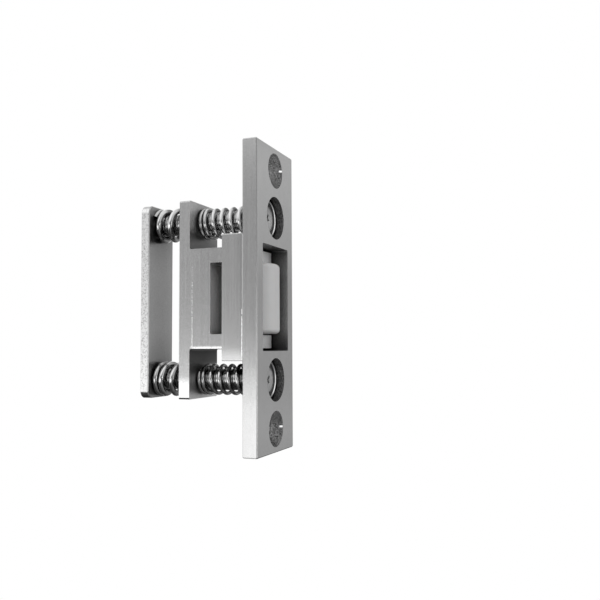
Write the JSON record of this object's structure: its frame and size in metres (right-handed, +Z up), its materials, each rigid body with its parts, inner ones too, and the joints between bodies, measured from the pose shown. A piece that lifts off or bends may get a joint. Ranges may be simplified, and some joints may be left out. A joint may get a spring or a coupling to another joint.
{
  "type": "roller latch",
  "caption": "Mortise roller latch: a rectangular faceplate, a sprung carriage with an upright roller behind its window, and adjusting screws that set how far the roller projects.",
  "frame": {"origin": "centre of the faceplate's back face, which seats in the door's edge, midway between the two mounting holes", "axes": "-Y out of the front face towards the strike, +Y back into the door's edge, +Z up the length of the faceplate, +X to the right as the face is seen"},
  "size_m": [0.0254, 0.0422, 0.0856],
  "materials": {
    "satin_casting": "satin chrome on a fine casting",
    "bright_steel": "bright zinc plate",
    "spring_wire": "bright drawn wire",
    "nylon": "smooth moulded nylon"
  },
  "bodies": {
    "mounting": {"faceplate": "satin_casting", "upper_front_spring": "spring_wire", "lower_front_spring": "spring_wire"},
    "carriage": {"carriage": "satin_casting", "roller_axle": "bright_steel"},
    "roller": {"roller": "nylon"},
    "upper_screw": {"upper_adjusting_screw": "bright_steel"},
    "lower_screw": {"lower_adjusting_screw": "bright_steel"},
    "back_plate": {"back_plate": "satin_casting", "upper_rear_spring": "spring_wire", "lower_rear_spring": "spring_wire"}
  },
  "joints": [
    {"name": "back_plate_slide", "type": "slide", "parent": "mounting", "child": "back_plate", "axis": [0, 1, 0], "range_m": [-0.004, 0], "deforming": ["upper_front_spring", "lower_front_spring"]},
    {"name": "upper_screw_turn", "type": "hinge", "parent": "mounting", "child": "upper_screw", "pos_m": [0, 0, 0.02275], "axis": [0, 1, 0], "range_deg": [0, 1590]},
    {"name": "lower_screw_turn", "type": "hinge", "parent": "mounting", "child": "lower_screw", "pos_m": [0, 0, -0.02275], "axis": [0, 1, 0], "range_deg": [0, 1590]},
    {"name": "carriage_slide", "type": "slide", "parent": "back_plate", "child": "carriage", "axis": [0, 1, 0], "range_m": [0, 0.0035], "stiffness_N_per_m": 30000, "deforming": ["upper_rear_spring", "lower_rear_spring", "upper_front_spring", "lower_front_spring"]},
    {"name": "roller_spin", "type": "hinge", "parent": "carriage", "child": "roller", "pos_m": [0, 0.0031, 0], "axis": [0, 0, 1], "continuous": true}
  ],
  "couplings": [
    {"joint": "upper_screw_turn", "follows": "back_plate_slide", "rad_per_m": -6927.4},
    {"joint": "lower_screw_turn", "follows": "back_plate_slide", "rad_per_m": -6927.4}
  ]
}
